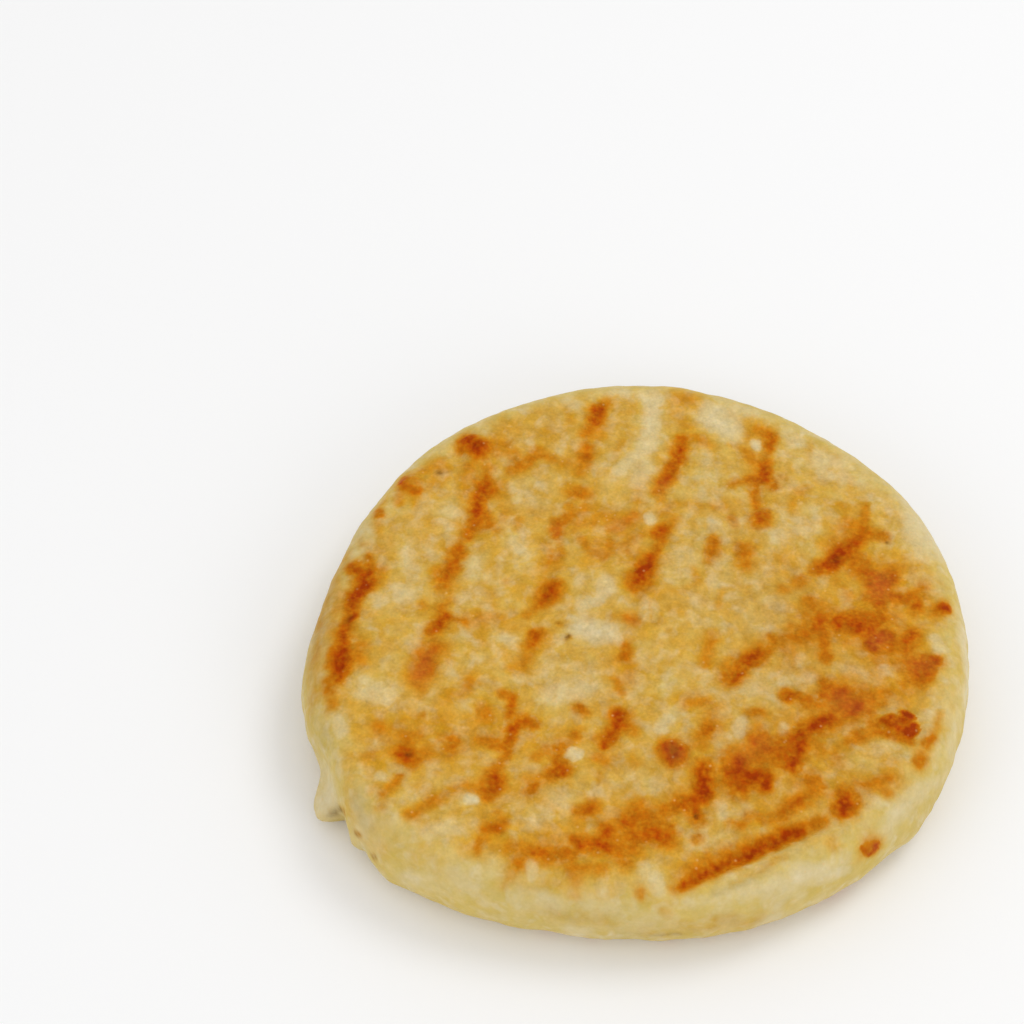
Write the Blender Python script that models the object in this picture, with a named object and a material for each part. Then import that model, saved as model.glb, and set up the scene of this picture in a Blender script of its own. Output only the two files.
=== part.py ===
# Cassava arepa: one thick round of cassava dough, patted out by hand and browned on a ridged griddle.
# It lies on its flat underside, centred on the origin, with its top facing +Z.

import math

import bmesh
import bpy

MM = 0.001

# Driving dimensions
MEAN_RADIUS = 55.4 * MM
THICKNESS = 15.0 * MM
WIDEST_HEIGHT = 7.0 * MM
SHOULDER_REACH = 5.5 * MM
FOOT_REACH = 6.5 * MM
WALL_FULLNESS = 2.2  # 2 gives an elliptical wall, more gives a squarer one
CENTRE_SHIFT = -1.18 * MM  # along Y, which puts the middle of the uneven outline on the origin

# Waves that make the outline uneven: how many go round, their height, and the direction of a crest in degrees
OUTLINE_WAVES = (
    (2, 1.4 * MM, 45),
    (3, 1.15 * MM, -25),
    (4, 0.75 * MM, 36),
    (5, 0.2 * MM, 0),
    (6, 0.2 * MM, -28),
    (7, 0.2 * MM, -24),
)

# Dents and lumps in the wall: direction and half-width in degrees, push outwards, height and half-height
WALL_LUMPS = (
    (4, 9.0, 0.4 * MM, 7.0 * MM, 9.0 * MM),
    (190, 6.0, 0.4 * MM, 5.0 * MM, 8.0 * MM),
    (207, 8.0, -2.2 * MM, 6.0 * MM, 9.0 * MM),
    (214.6, 1.7, -0.9 * MM, 3.5 * MM, 4.0 * MM),
    (218, 1.2, 0.5 * MM, 3.0 * MM, 3.0 * MM),
    (220.6, 1.3, -0.7 * MM, 3.5 * MM, 3.0 * MM),
    (226, 3.0, 0.5 * MM, 3.5 * MM, 4.0 * MM),
    (321, 4.0, 0.7 * MM, 4.0 * MM, 4.0 * MM),
    (334, 4.0, -0.4 * MM, 5.0 * MM, 5.0 * MM),
    (24, 6.0, -0.5 * MM, 6.0 * MM, 4.0 * MM),
    (75, 8.0, 0.5 * MM, 5.0 * MM, 4.0 * MM),
    (118, 6.0, -0.6 * MM, 8.0 * MM, 4.0 * MM),
    (152, 7.0, 0.5 * MM, 4.0 * MM, 4.0 * MM),
)

# A tongue of dough that was left low on the wall: it swells slowly on one side and ends short on the other
TONGUE = {
    "direction": 209.0,
    "slow_width": 4.4,
    "short_width": 3.0,
    "push": 4.6 * MM,
    "height": 2.8 * MM,
    "half_height": 3.4 * MM,
}

# Broad swells of the top face: wavelength, height and direction in degrees
TOP_SWELLS = (
    (61 * MM, 0.30 * MM, 25),
    (38 * MM, 0.22 * MM, 110),
    (27 * MM, 0.15 * MM, 70),
)
TOP_CROWN = 0.5 * MM  # how far the middle stands above the shoulder

# Furrows that the griddle's ridges pressed into the top: half-width, depth, and the points that each runs through
FURROWS = (
    (2.2 * MM, 0.40 * MM, ((-25.5, 32), (-28, 19))),
    (2.0 * MM, 0.30 * MM, ((-30.5, 14), (-32.5, 0), (-36, -12))),
    (2.2 * MM, 0.40 * MM, ((-46, 12), (-47.5, 2), (-49, -12))),
    (2.0 * MM, 0.30 * MM, ((-4.5, 47), (-9, 33))),
    (2.0 * MM, 0.30 * MM, ((-13, 20), (-17, 3), (-19, -9))),
    (2.2 * MM, 0.35 * MM, ((9, 38), (5, 29))),
    (2.2 * MM, 0.35 * MM, ((4.5, 19), (0, 8))),
    (2.0 * MM, 0.30 * MM, ((-2.5, -4), (-3, -15), (-6, -24))),
    (2.0 * MM, 0.30 * MM, ((23, 38), (21, 23))),
    (2.2 * MM, 0.35 * MM, ((38, 18), (30, 11))),
    (2.2 * MM, 0.35 * MM, ((19, -6), (14, -12))),
    (2.2 * MM, 0.30 * MM, ((-21, -17), (-24, -34), (-26, -43))),
    (3.0 * MM, 0.35 * MM, ((-16, -45), (8, -34), (20, -25), (33, -16))),
)

# The fold near the front edge: a sharp crease, with the dough of the rim standing up beside it
CREASE = (1.5 * MM, 0.80 * MM, ((4, -49.5), (12, -46), (18, -43.3), (26, -39.5)))
FOLD_RIDGE = (2.6 * MM, -0.55 * MM, ((8, -51), (20, -46), (31, -41)))

# Blisters on the top: place, radius and height
BLISTERS = (
    (-27.5, 38.5, 2.8 * MM, 0.6 * MM),
    (-38.5, 29.5, 2.4 * MM, 0.5 * MM),
    (4.5, -26, 2.4 * MM, 0.6 * MM),
    (41, -21, 3.4 * MM, 0.7 * MM),
    (21.6, 21.3, 2.0 * MM, 0.4 * MM),
    (34.5, -40, 2.2 * MM, 0.6 * MM),
)

# How finely the block that becomes the arepa is cut
FACE_CUTS = 50
WALL_CUTS = 11

CRUST_COLOUR = (0.61, 0.36, 0.09, 1.0)
CRUST_ROUGHNESS = 0.5


def clear_scene():
    for obj in list(bpy.data.objects):
        bpy.data.objects.remove(obj, do_unlink=True)


def hump(distance, half_width, steepness=2):
    # A smooth bell, 1 in the middle, which a greater steepness makes flatter on top and sharper at its sides
    return math.exp(-(abs(distance / half_width) ** steepness))


def turn_between(angle, direction):
    # The signed turn from a direction to an angle, in degrees
    return (angle - direction + 180) % 360 - 180


def outline_radius(degrees):
    radius = MEAN_RADIUS
    for count, height, crest in OUTLINE_WAVES:
        radius += height * math.cos(math.radians(count * (degrees - crest)))
    return radius


def wall_push(degrees, height):
    push = 0.0
    for direction, half_width, amount, middle, half_height in WALL_LUMPS:
        turn = turn_between(degrees, direction)
        push += amount * hump(turn, half_width) * hump(height - middle, half_height)
    turn = turn_between(degrees, TONGUE["direction"])
    along = hump(turn, TONGUE["slow_width"]) if turn < 0 else hump(turn, TONGUE["short_width"], 5)
    return push + TONGUE["push"] * along * hump(height - TONGUE["height"], TONGUE["half_height"])


def path_distance(x, y, path):
    # The shortest distance from a point of the top face to a path given in millimetres
    nearest = math.inf
    for (x0, y0), (x1, y1) in zip(path, path[1:]):
        run_x, run_y = (x1 - x0) * MM, (y1 - y0) * MM
        from_x, from_y = x - x0 * MM, y - y0 * MM
        along = (from_x * run_x + from_y * run_y) / (run_x**2 + run_y**2)
        along = min(1.0, max(0.0, along))
        nearest = min(nearest, math.hypot(from_x - along * run_x, from_y - along * run_y))
    return nearest


def top_relief(x, y):
    level = 0.0
    for wavelength, height, direction in TOP_SWELLS:
        turn = math.radians(direction)
        level += height * math.sin(math.tau * (x * math.cos(turn) + y * math.sin(turn)) / wavelength)
    level += TOP_CROWN * (1 - (x**2 + y**2) / MEAN_RADIUS**2)
    for half_width, depth, path in (*FURROWS, CREASE, FOLD_RIDGE):
        level -= depth * hump(path_distance(x, y, path), half_width)
    for place_x, place_y, radius, height in BLISTERS:
        away = math.hypot(x - place_x * MM, y - place_y * MM)
        level += height * math.sqrt(max(0.0, 1 - (away / radius) ** 2))
    return level


def cut_block():
    # A block from -1 to 1 with its faces cut into a net: rings on the top and underside, rows round the wall
    mesh = bmesh.new()
    bmesh.ops.create_cube(mesh, size=2.0)
    for axis, cuts in ((0, FACE_CUTS), (1, FACE_CUTS), (2, WALL_CUTS)):
        across = [edge for edge in mesh.edges if abs(edge.verts[0].co[axis] - edge.verts[1].co[axis]) > 1.9]
        bmesh.ops.subdivide_edges(mesh, edges=across, cuts=cuts, use_grid_fill=True)
    return mesh


def ring_direction(u, v):
    # Turns a place on a square ring of the block into a direction, in degrees
    if u == v == 0:
        return 0.0
    if abs(u) >= abs(v):
        return 45 * v / u + (180 if u < 0 else 0)
    return 90 - 45 * u / v + (180 if v < 0 else 0)


def place_on_arepa(u, v, w):
    # u and v run across the block and w up it: the block's edges become the ends of the rounded wall
    degrees = ring_direction(u, v)
    ring = max(abs(u), abs(v))
    tilt = w * math.pi / 2
    reach, rise = (SHOULDER_REACH, THICKNESS - WIDEST_HEIGHT) if w > 0 else (FOOT_REACH, WIDEST_HEIGHT)
    inset = reach * (1 - max(0.0, math.cos(tilt)) ** (2 / WALL_FULLNESS))
    upward = math.copysign(abs(math.sin(tilt)) ** (2 / WALL_FULLNESS), w)
    height = WIDEST_HEIGHT + rise * upward
    radius = ring * (outline_radius(degrees) + wall_push(degrees, height) - inset)
    x = radius * math.cos(math.radians(degrees))
    y = radius * math.sin(math.radians(degrees))
    if w > 0:
        height += top_relief(x, y) * upward**3
    return x, y + CENTRE_SHIFT, height


def make_arepa(collection):
    block = cut_block()
    for vertex in block.verts:
        vertex.co = place_on_arepa(*vertex.co)
    bmesh.ops.recalc_face_normals(block, faces=block.faces)
    mesh = bpy.data.meshes.new("arepa")
    block.to_mesh(mesh)
    block.free()
    mesh.shade_smooth()
    arepa = bpy.data.objects.new("arepa", mesh)
    collection.objects.link(arepa)
    return arepa


def crust_material():
    material = bpy.data.materials.new("browned cassava dough")
    material.use_nodes = True
    shader = material.node_tree.nodes["Principled BSDF"]
    shader.inputs["Base Color"].default_value = CRUST_COLOUR
    shader.inputs["Roughness"].default_value = CRUST_ROUGHNESS
    shader.inputs["Metallic"].default_value = 0.0
    material.diffuse_color = CRUST_COLOUR
    return material


clear_scene()
food = bpy.data.collections.new("cassava arepa")
bpy.context.scene.collection.children.link(food)
make_arepa(food).data.materials.append(crust_material())
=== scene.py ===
import math

import bmesh
import bpy
import numpy as np
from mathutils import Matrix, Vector, noise


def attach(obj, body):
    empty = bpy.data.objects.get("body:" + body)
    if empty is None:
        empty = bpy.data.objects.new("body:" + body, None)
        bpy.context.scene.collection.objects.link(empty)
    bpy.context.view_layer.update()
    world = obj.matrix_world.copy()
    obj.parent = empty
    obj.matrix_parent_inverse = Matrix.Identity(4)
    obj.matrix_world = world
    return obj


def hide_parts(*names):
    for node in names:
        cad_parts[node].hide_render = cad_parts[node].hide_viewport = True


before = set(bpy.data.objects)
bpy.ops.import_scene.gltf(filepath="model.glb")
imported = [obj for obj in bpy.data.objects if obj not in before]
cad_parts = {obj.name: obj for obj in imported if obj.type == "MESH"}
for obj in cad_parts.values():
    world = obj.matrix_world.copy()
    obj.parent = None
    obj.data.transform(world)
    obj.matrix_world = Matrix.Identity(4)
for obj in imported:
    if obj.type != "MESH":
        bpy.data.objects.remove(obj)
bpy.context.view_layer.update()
print("frame loaded")

mm = 0.001  # sizes below are in millimetres and degrees unless a note says otherwise

# How the round of dough is shaped, as in the frame
breadForm = {
    "meanRadius": 55.4,
    "thickness": 15.0,
    "widestHeight": 7.0,
    "shoulderReach": 5.5,
    "footReach": 6.5,
    "wallFullness": 2.2,
    "crown": 0.5,
    "centreShift": -1.18,  # along Y
    "faceCuts": 231,  # cuts across the top, an odd number
    "wallCuts": 31,
    "underCut": -0.99,  # below this height in the block, which runs from -1 to 1, lies its underside
    "wallBlisters": 0.3,  # the share of its height that a blister keeps on the wall
    # waves round the outline: how many, height, direction of a crest
    "outlineWaves": [
        (2, 1.4, 45), (3, 1.15, -25), (4, 0.75, 36), (5, 0.2, 0), (6, 0.2, -28), (7, 0.2, -24),
    ],
    # swells of the top: wavelength, height, direction
    "topSwells": [(61, 0.3, 25), (38, 0.22, 110), (27, 0.15, 70)],
    # dents and lumps of the wall: direction, half-width, push, height, half-height
    "wallLumps": [
        (4, 9, 0.4, 7, 9), (190, 6, 0.4, 5, 8), (207, 8, -2.2, 6, 9), (214.6, 1.7, -0.9, 3.5, 4),
        (218, 1.2, 0.5, 3, 3), (220.6, 1.3, -0.7, 3.5, 3), (226, 3, 0.5, 3.5, 4), (321, 4, 0.7, 4, 4),
        (334, 4, -0.4, 5, 5), (24, 6, -0.5, 6, 4), (75, 8, 0.5, 5, 4), (118, 6, -0.6, 8, 4),
        (152, 7, 0.5, 4, 4),
    ],
}

# The tongue of dough low on the wall: it swells slowly on one side and ends short on the other
tongue = {
    "direction": 209,
    "slowWidth": 4.4,
    "shortWidth": 3,
    "shortSteepness": 5,
    "push": 4.6,
    "height": 2.8,
    "halfHeight": 3.4,
}

# Hollows in the top: half-width, depth (negative stands up), points
hollows = [
    (2.2, 0.4, (-25.5, 32), (-28, 19)), (2, 0.3, (-30.5, 14), (-32.5, 0), (-36, -12)),
    (2.2, 0.4, (-46, 12), (-47.5, 2), (-49, -12)), (2, 0.3, (-4.5, 47), (-9, 33)),
    (2, 0.3, (-13, 20), (-17, 3), (-19, -9)), (2.2, 0.35, (9, 38), (5, 29)),
    (2.2, 0.35, (4.5, 19), (0, 8)), (2, 0.3, (-2.5, -4), (-3, -15), (-6, -24)),
    (2, 0.3, (23, 38), (21, 23)), (2.2, 0.35, (38, 18), (30, 11)), (2.2, 0.35, (19, -6), (14, -12)),
    (2.2, 0.3, (-21, -17), (-24, -34), (-26, -43)), (3, 0.35, (-16, -45), (8, -34), (20, -25), (33, -16)),
    (1.3, 0.8, (4, -50.2), (12, -45.9), (19, -42.6), (26, -39.7)),
    (1, -0.65, (7, -51.4), (15.3, -47.4), (23, -43.7), (31, -39.9)),
    (0.8, 0.4, (9.4, -51), (12.4, -49.7), (18.1, -47), (24.1, -43.2)),
    (0.5, -0.2, (1.1, 4.5), (1.1, -1.9)),
]

# Blisters: place, radius, height
blisters = [
    (-27.5, 38.3, 15, 2.7, 0.6), (-38.3, 29.6, 15, 2.3, 0.5), (4.7, -26.3, 15, 2.3, 0.6),
    (41, -20.9, 15, 3.1, 0.7), (21.6, 21.2, 15, 2, 0.45), (13.2, 15.8, 15, 1.6, 0.3),
    (-9.6, -18, 15, 1.4, 0.3), (34.7, -41.2, 11.5, 2.1, 0.6), (51.1, 3.2, 14.8, 1.4, 0.4),
]

# Fine relief of the skin, in layers of noise: height, size of the hills, seed
skinLayers = {
    "puckers": [(0.16, 5, 11), (0.09, 2.4, 12)],
    "wrinkles": [(0.1, 3.4, 13), (0.05, 1.7, 14)],
    "wallFolds": [(0.35, 5.5, 21), (0.16, 2.6, 22)],
    "wallGrain": [(0.06, 1.4, 23)],
    "raggedMarks": [(0.4, 4, 1), (0.35, 1.5, 4)],  # moves the edges of the marks
}

# Browning: how far it is baked from 0 to 1, half-width, and the points that a mark runs through; a few
# marks on the wall are painted shade
toastAndShadeMarks = [
    # back left
    (0.75, 1.7, (-28.4, 39.2), (-27, 36.9)), (0.7, 1.5, (-26, 38.6), (-25.6, 37.6)),
    (0.6, 1.1, (-30.2, 39), (-29.8, 37.2)), (0.37, 2.4, (-24.4, 39), (-23.4, 37)),
    (0.37, 1.6, (-28.4, 33.8), (-28, 33.6)), (0.37, 1.4, (-24.6, 33.7), (-24.2, 33.6)),
    (0.95, 0.8, (-40, 31.8), (-40, 29.8)), (0.65, 1.1, (-39.6, 28.8), (-38, 28.2), (-36.8, 28)),
    (0.42, 2.4, (-38.8, 30.8), (-38.2, 30)), (0.37, 1.5, (-37, 32), (-35, 33.6), (-33, 34.8)),
    (0.37, 1.1, (-40, 27), (-40.3, 25.4)), (0.42, 1.1, (-43.2, 28), (-43.6, 26)),
    (0.6, 0.9, (-43.9, 24.5), (-43.5, 22.5)), (0.3, 1.1, (-43.2, 21), (-43, 18)),
    (0.26, 1.2, (-47.5, 18), (-46.3, 16.8)), (0.5, 1.1, (-25.3, 32), (-25.4, 31)),
    (0.72, 1.8, (-25.5, 30), (-25.2, 28.2)), (0.5, 1.3, (-24.2, 28.6), (-23.8, 28.4)),
    (0.72, 1.6, (-26, 28.4), (-26.8, 26)), (0.88, 1.4, (-26.8, 25.2), (-26.9, 24)),
    (0.68, 1.9, (-27, 23.4), (-26.8, 20.8)), (0.55, 1.4, (-25.6, 22.6), (-25, 20.8)),
    (0.62, 1.2, (-27.8, 20.2), (-28.2, 18.2)), (0.37, 1.4, (-24.6, 20.8), (-23.4, 19.4)),
    (0.42, 1.2, (-29, 18), (-29.9, 15.8)), (0.7, 1.6, (-30, 14.8), (-30.4, 12)),
    (0.64, 1.5, (-30.8, 11.2), (-31.8, 9.2)), (0.5, 1.6, (-31.8, 8.8), (-32.6, 7.6)),
    (0.42, 1.6, (-33.2, 10.4), (-33, 8)), (0.33, 1.4, (-31.6, 6.6), (-31.2, 4)),
    (0.33, 1.3, (-35.8, 3.6), (-35.6, 2.6)), (0.5, 1.4, (-32.4, 3), (-32.2, 1.6)),
    (0.78, 1.4, (-31.9, 0.4), (-33.1, -1.3)), (0.62, 1.5, (-33.2, -1.8), (-33.8, -2.8)),
    (0.48, 1, (-30.8, 0), (-28.2, -0.4)), (0.3, 2.2, (-27.4, -0.2), (-23.2, 0.6)),
    (0.5, 1.3, (-48.2, 12.6), (-47, 12)), (0.72, 1.3, (-47.6, 12), (-46.4, 10)),
    (0.5, 1.2, (-45, 14), (-44.8, 12.6)), (0.62, 1.3, (-44.9, 11.6), (-44.8, 10.2)),
    (0.82, 1.8, (-45.2, 9.8), (-45.4, 8.2)), (0.98, 1.4, (-45.2, 7.4), (-46.6, 5.8)),
    (0.82, 1.5, (-46.8, 5.2), (-47.2, 3.8)), (0.66, 1.4, (-47, 3), (-47.2, 1.6)),
    (0.95, 0.6, (-46.6, 1.2), (-47.6, 0)), (0.64, 1.4, (-47.8, 0), (-48, -2)),
    (0.38, 1.8, (-42.8, 11), (-43.4, 8)), (0.82, 1.5, (-5.6, 46.6), (-6.3, 44.2)),
    (0.48, 1.4, (-4.2, 48.6), (-5, 47.6)), (0.48, 1.4, (-6.6, 43.2), (-8.2, 40.4)),
    (0.32, 2.6, (-5.4, 42.4), (-7.4, 39)), (0.56, 1.5, (-7.7, 38), (-8.1, 35.6)),
    (0.42, 1.6, (-8.3, 34.8), (-8.9, 32)), (0.52, 1.6, (-16.4, 36.4), (-17.8, 35)),
    (0.52, 1.7, (-19.4, 33.8), (-20.4, 33)), (0.42, 2.2, (-20.6, 36), (-19, 34.5)),
    (0.45, 1.2, (-15, 35.8), (-13.8, 35.4)), (0.32, 1.7, (-13.4, 34.6), (-9.8, 33.4)),
    (0.32, 1.8, (-24, 39.8), (-21.4, 38.4)), (0.48, 1.9, (-10.4, 27.8), (-8.6, 27)),
    (0.26, 1.2, (-3, 35), (-1.6, 38.6)), (0.26, 1.2, (1, 48), (0.6, 46)),
    (0.26, 1.2, (-11, 46), (-10.6, 43.6)), (0.42, 1.4, (0, 22.2), (-1.4, 21.2)),
    (0.37, 1.7, (-1.2, 20.4), (-4.2, 19.2)),
    (0.38, 1.2, (-8.8, 17), (-8, 14.4), (-5.6, 12.8), (-4.2, 14.2), (-4.2, 16.6)),
    (0.34, 1.1, (-3.4, 14.4), (-1.2, 14.2)), (0.36, 1.2, (1.6, 18.2), (-1.6, 15.4)),
    (0.33, 1.1, (-19.4, 21.6), (-20, 19.2)), (0.62, 1.1, (-13.3, 21.2), (-13.2, 18.2)),
    (0.47, 1.3, (-12.8, 20.6), (-10.2, 22.8)), (0.42, 1.3, (-10, 23.6), (-10.8, 24.6)),
    (0.38, 1.1, (-12.8, 17), (-12.6, 13.8)), (0.38, 1.1, (-14.6, 13.8), (-14.8, 12.4)),
    (0.28, 1.8, (-13.6, 12), (-14.6, 10)), (0.8, 1.9, (-14.2, 6.6), (-14.8, 5.4)),
    (0.62, 1.4, (-15.2, 4.4), (-16, 3.4)), (0.35, 2.3, (-14.4, 7), (-15.6, 4)),
    (0.44, 1.2, (-17.2, 2.4), (-18.2, 1.2)), (0.3, 0.9, (-21.8, 8.4), (-21.8, 7.8)),
    (0.52, 1.3, (-1.5, 0.4), (-0.8, 0.1)), (0.3, 1.2, (-4, 0.4), (-2.4, 0.4)),
    (0.36, 1.5, (-26, 36.6), (-25.4, 33)), (0.4, 1.3, (-31.4, -1.2), (-30.6, -2)),
    (0.38, 1.6, (-12, 21.6), (-8.4, 24)),
    # back right
    (0.6, 1.3, (9, 40), (8.8, 38.4)), (0.74, 1.4, (8.5, 37.4), (7.8, 34.4)),
    (0.7, 1.4, (7.2, 33.4), (5.4, 30)), (0.56, 1.3, (4.8, 29.4), (4.2, 28)),
    (0.36, 1.5, (4.6, 27.4), (4.6, 26.4)), (0.42, 1.3, (10.6, 40.4), (12.2, 39.8)),
    (0.3, 1.6, (12.2, 39), (13.6, 38.4)), (0.3, 2.4, (9, 50), (11.6, 49.4)),
    (0.28, 2.4, (8.6, 46), (9.6, 44)), (0.34, 1.7, (1, 28), (0.8, 25)),
    (0.34, 1, (17.4, 46.6), (17.4, 46)), (0.47, 1.6, (22.6, 42.6), (24.2, 42)),
    (0.66, 1.3, (24.6, 41), (24.3, 38.4)), (0.38, 1.4, (24, 37.8), (23.4, 36.6)),
    (0.3, 1.4, (21.2, 42), (21.2, 40.4)), (0.3, 1.3, (17.6, 38.8), (19.6, 38)),
    (0.38, 1.3, (20.2, 37.2), (21.2, 35.2)), (0.66, 1.3, (23.2, 35), (22.8, 33.2)),
    (0.8, 1.4, (23, 32.6), (22.8, 30.8)), (0.62, 1.4, (22, 31), (20.8, 30.4)),
    (0.45, 1.3, (19.6, 30.2), (17.4, 29.4)), (0.5, 1.4, (24.2, 30.4), (24.2, 29)),
    (0.34, 1.2, (25.4, 31.2), (26.2, 30.8)), (0.52, 1, (21.3, 29.2), (20.6, 24)),
    (0.3, 1.5, (29.6, 28.6), (28.8, 27.6)), (0.24, 1.2, (31.4, 39), (31.4, 38)),
    (0.24, 1.2, (37.8, 31), (37.6, 29)), (0.3, 1.3, (27.5, 24.8), (27.2, 23.4)),
    (0.24, 1.8, (29, 27), (27.6, 25)), (0.3, 1.3, (35.8, 25), (36, 22)),
    (0.44, 1.2, (39.8, 24.8), (39.2, 21.4)), (0.47, 1.9, (36.4, 20.2), (38.6, 19.8)),
    (0.36, 2.4, (35, 19), (33, 16)), (0.57, 1.6, (39, 18.6), (37.8, 17.4)),
    (0.74, 1.6, (37.4, 17), (35.4, 15.2)), (0.92, 1.7, (35, 14.8), (33, 12)),
    (0.67, 1.8, (32.4, 11.6), (31.2, 11.2)), (0.47, 1.7, (30.6, 11.4), (30, 10.8)),
    (0.47, 1.6, (40, 18.2), (42.4, 18)), (0.52, 2.8, (36.6, 13.4), (37.6, 11)),
    (0.66, 1.8, (38.6, 10.4), (39.2, 9)), (0.66, 2.4, (40, 8), (40, 5)),
    (0.62, 1.9, (42.4, 9.6), (41, 7.6)), (0.62, 1.8, (43, 5.4), (44.6, 5.2)),
    (0.45, 1.8, (27.4, 8.6), (27, 7.8)), (0.38, 1.6, (25.6, 6.8), (24.2, 6)),
    (0.24, 4.6, (25, 12), (30, 9)), (0.42, 1.8, (47.6, 7.4), (46, 5)),
    (0.28, 1.1, (49.2, 6.8), (49.6, 6.4)), (0.62, 1.5, (50.9, 3.4, 14.8), (49.9, 2.2)),
    (0.42, 1.5, (49.8, 2.6), (48.8, 1.4)), (0.65, 1.1, (46, 3.6), (45.8, 3)),
    (0.52, 1.8, (45.8, 4.8), (46, 2.6)), (0.52, 1.6, (40.2, 4.4), (40.2, 1.4)),
    (0.5, 1.4, (28.4, 4), (28.4, 3)), (0.72, 1.5, (4.8, 19.2), (4, 18.2)),
    (0.38, 1.2, (6, 20.2), (7, 21.6)), (0.52, 1.1, (4.4, 16.8), (3, 13.6)),
    (0.72, 1.5, (2.4, 12.8), (2, 11.6)), (0.94, 1.8, (1.8, 10.8), (0.6, 8.4)),
    (0.66, 1.7, (0.4, 7.6), (-0.6, 7)), (0.38, 2.6, (2.4, 12.4), (0, 6.4)),
    (0.52, 1.4, (13.4, 16.6), (12.8, 14)), (0.38, 1.1, (12.6, 13.6), (12, 12)),
    (0.52, 1.9, (18.4, 14.4), (18.2, 11.4)), (0.38, 1.1, (16.4, 21.6), (17, 20.2)),
    (0.7, 1.8, (21.8, 21.8), (21.4, 20.8)), (0.28, 1.2, (11, 24.8), (11.4, 24.4)),
    (0.28, 1, (13.8, 23.8), (14.8, 23.8)), (0.27, 2.2, (5, 24.6), (18, 24.6)),
    (0.28, 1, (9.5, 10), (10.4, 7.4), (8, 6), (6, 5.2)), (0.28, 1, (14.2, 6), (13.2, 2.4)),
    # front left
    (0.76, 1.4, (-48.4, -2.6), (-48.6, -5)), (0.98, 1.8, (-48.7, -6.8), (-48.6, -9.6)),
    (0.72, 1.6, (-48.7, -10.6), (-48.8, -11.8)), (0.42, 2, (-46.2, -5.2), (-45.8, -8.6)),
    (0.52, 1.3, (-50.4, -8), (-50.4, -9.4)), (0.53, 1.5, (-50.6, -12.4), (-50.4, -14)),
    (0.42, 1.3, (-50, -15), (-49.2, -17)), (0.52, 1.9, (-33.2, -6), (-35, -7.2)),
    (0.66, 1.7, (-34.7, -8.2), (-35, -10.8)), (0.45, 2.6, (-34.4, -6.6), (-35.4, -11)),
    (0.42, 1.5, (-35.4, -12), (-35.8, -13.6)), (0.3, 2, (-31.6, -6), (-31.4, -7.6)),
    (0.44, 1.2, (-27.8, -12.6), (-28, -13.8)), (0.3, 2.4, (-27.6, -12), (-28.6, -14.6)),
    (0.32, 1.9, (-30, -14.8), (-32, -16.2)), (0.7, 1.1, (-17, -2.6), (-17.5, -4.2)),
    (0.5, 1.6, (-16.8, -2.6), (-18, -5)), (0.42, 1.8, (-18.2, -5.8), (-18.8, -8.4)),
    (0.33, 1.9, (-19, -8.4), (-20.4, -9.4)), (0.28, 2, (-15.4, -3.6), (-15.2, -5.4)),
    (0.34, 0.8, (-11.8, -3.6), (-11.4, -3.2)), (0.34, 0.8, (-13.2, -0.5), (-12.9, -0.7)),
    (0.58, 1, (-2.3, -5), (-2.8, -7.2)), (0.4, 1.6, (-2.2, -4.6), (-2.8, -7.6)),
    (0.3, 2.6, (-2, -9.4), (-3, -13)), (0.42, 1.1, (-4, -12), (-3.2, -14.4)),
    (0.33, 1.4, (-41.9, -18.6), (-42.1, -20)), (0.44, 1.3, (-42.2, -21), (-41.6, -22.2)),
    (0.28, 2.6, (-42.4, -19.4), (-42, -22.6)), (0.31, 4.4, (-39, -21.4), (-33, -20.6)),
    (0.42, 0.8, (-35, -19.2), (-34.9, -19)), (0.42, 1.2, (-38.2, -22.6), (-35.6, -22.8)),
    (0.52, 1.4, (-37, -23.6), (-36.8, -25)), (0.88, 1.5, (-37.6, -26.4), (-37.1, -27)),
    (0.62, 2.1, (-37.6, -26.4), (-36.6, -27.4)), (0.44, 1.9, (-35, -26.8), (-33.8, -26.4)),
    (0.55, 1.7, (-30.4, -24), (-30.4, -25.4)), (0.38, 2.6, (-30.6, -23.8), (-30.2, -25.8)),
    (0.34, 1.5, (-43.4, -26.7), (-42.6, -26.6)), (0.24, 2.8, (-45.4, -27), (-41.6, -26.4)),
    (0.53, 0.9, (-38.6, -31), (-39.2, -31.8)), (0.44, 1.2, (-39.4, -32.2), (-40.8, -34.2)),
    (0.3, 1.3, (-40.6, -34.8), (-41, -36.4)), (0.28, 1.2, (-42.2, -33), (-42.6, -33.6)),
    (0.44, 1.2, (-32.8, -35.5), (-33.2, -35.7)), (0.36, 1.5, (-31.6, -35.2), (-35.4, -37)),
    (0.44, 1.4, (-35.8, -37.8), (-36.4, -38)), (0.34, 1.6, (-28.4, -32.4), (-31, -34.2)),
    (0.44, 1.5, (-25.6, -18.2), (-24.6, -19.4)), (0.34, 2.2, (-25.6, -17.6), (-24.6, -19.6)),
    (0.52, 1, (-20.9, -15.2), (-22.2, -15)), (0.64, 0.8, (-20.9, -15.4), (-20.9, -16.8)),
    (0.54, 1, (-20.9, -17.2), (-20.9, -19)), (0.64, 1.4, (-19.6, -20.2), (-18.9, -20.6)),
    (0.52, 1.7, (-19, -20), (-17.6, -20.8)), (0.8, 1, (-20.3, -20.9), (-21, -21.9)),
    (0.62, 1.1, (-20.9, -22.4), (-21.4, -24.8)), (0.56, 1.2, (-22, -24.6), (-24, -24.4)),
    (0.44, 1.2, (-24.6, -23.8), (-26.2, -23.8)), (0.52, 1, (-21.4, -25.4), (-21.6, -26.4)),
    (0.46, 1.3, (-21.9, -27), (-23, -29.4)), (0.28, 5, (-25, -22), (-14, -24)),
    (0.55, 1, (-10.1, -17.7), (-9.6, -18)), (0.42, 1.6, (-9.8, -18), (-9.5, -18.3)),
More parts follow.
